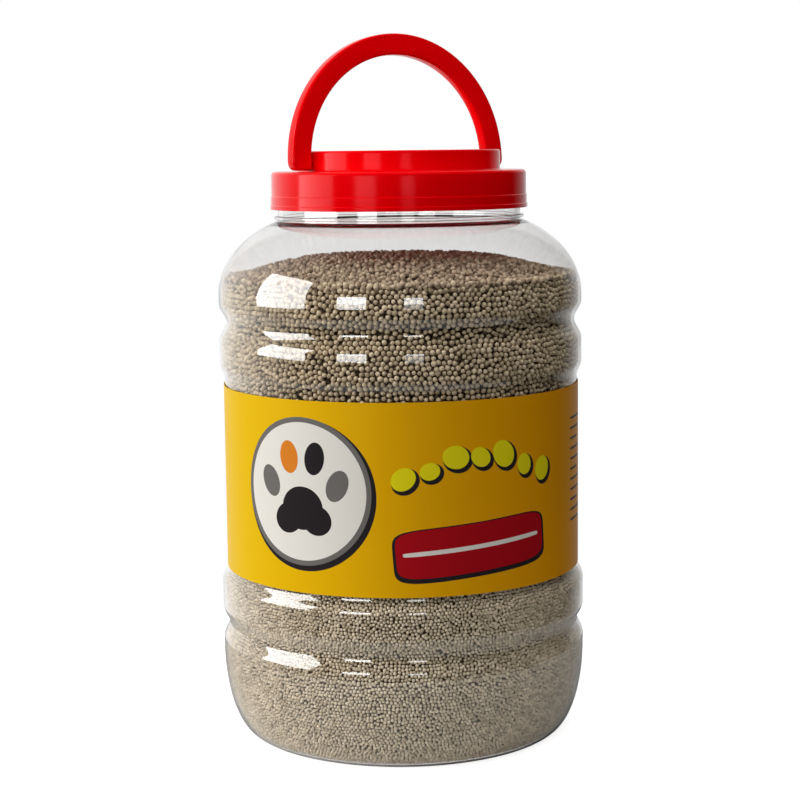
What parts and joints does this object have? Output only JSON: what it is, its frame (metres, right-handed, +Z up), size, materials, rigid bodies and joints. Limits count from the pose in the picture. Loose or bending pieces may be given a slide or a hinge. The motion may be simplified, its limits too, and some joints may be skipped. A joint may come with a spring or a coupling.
{
  "type": "cat litter jar",
  "caption": "Clear ribbed plastic jar full of round clay litter granules, with a wrap-around label and a red screw lid that carries a folding half-ring handle.",
  "frame": {"origin": "centre of the jar's base, on the surface that it stands on", "axes": "+Z up along the jar's axis; X along the line that the handle turns about"},
  "size_m": [0.174, 0.174, 0.3315],
  "materials": {
    "clear_pet": "clear, glossy, blow-moulded",
    "granules": "matt beige-grey clay balls of 2 to 3 mm",
    "label_film": "satin print on film",
    "foam": "white closed-cell foam",
    "red_plastic": "glossy moulded"
  },
  "bodies": {
    "jar": {"jar": "clear_pet", "litter": "granules", "label": "label_film"},
    "liner": {"lid_liner": "foam"},
    "lid": {"lid": "red_plastic"},
    "handle": {"handle": "red_plastic"}
  },
  "joints": [
    {"name": "lid_rise", "type": "slide", "parent": "jar", "child": "liner", "axis": [0, 0, 1], "range_m": [0, 0.015]},
    {"name": "lid_turn", "type": "hinge", "parent": "liner", "child": "lid", "pos_m": [0, 0, 0.266], "axis": [0, 0, 1], "range_deg": [0, 900]},
    {"name": "handle_fold", "type": "hinge", "parent": "lid", "child": "handle", "pos_m": [0, 0, 0.2725], "axis": [1, 0, 0], "range_deg": [-87.3, 92.7]}
  ],
  "couplings": [
    {"joint": "lid_rise", "follows": "lid_turn", "m_per_rad": 0.0009549}
  ]
}
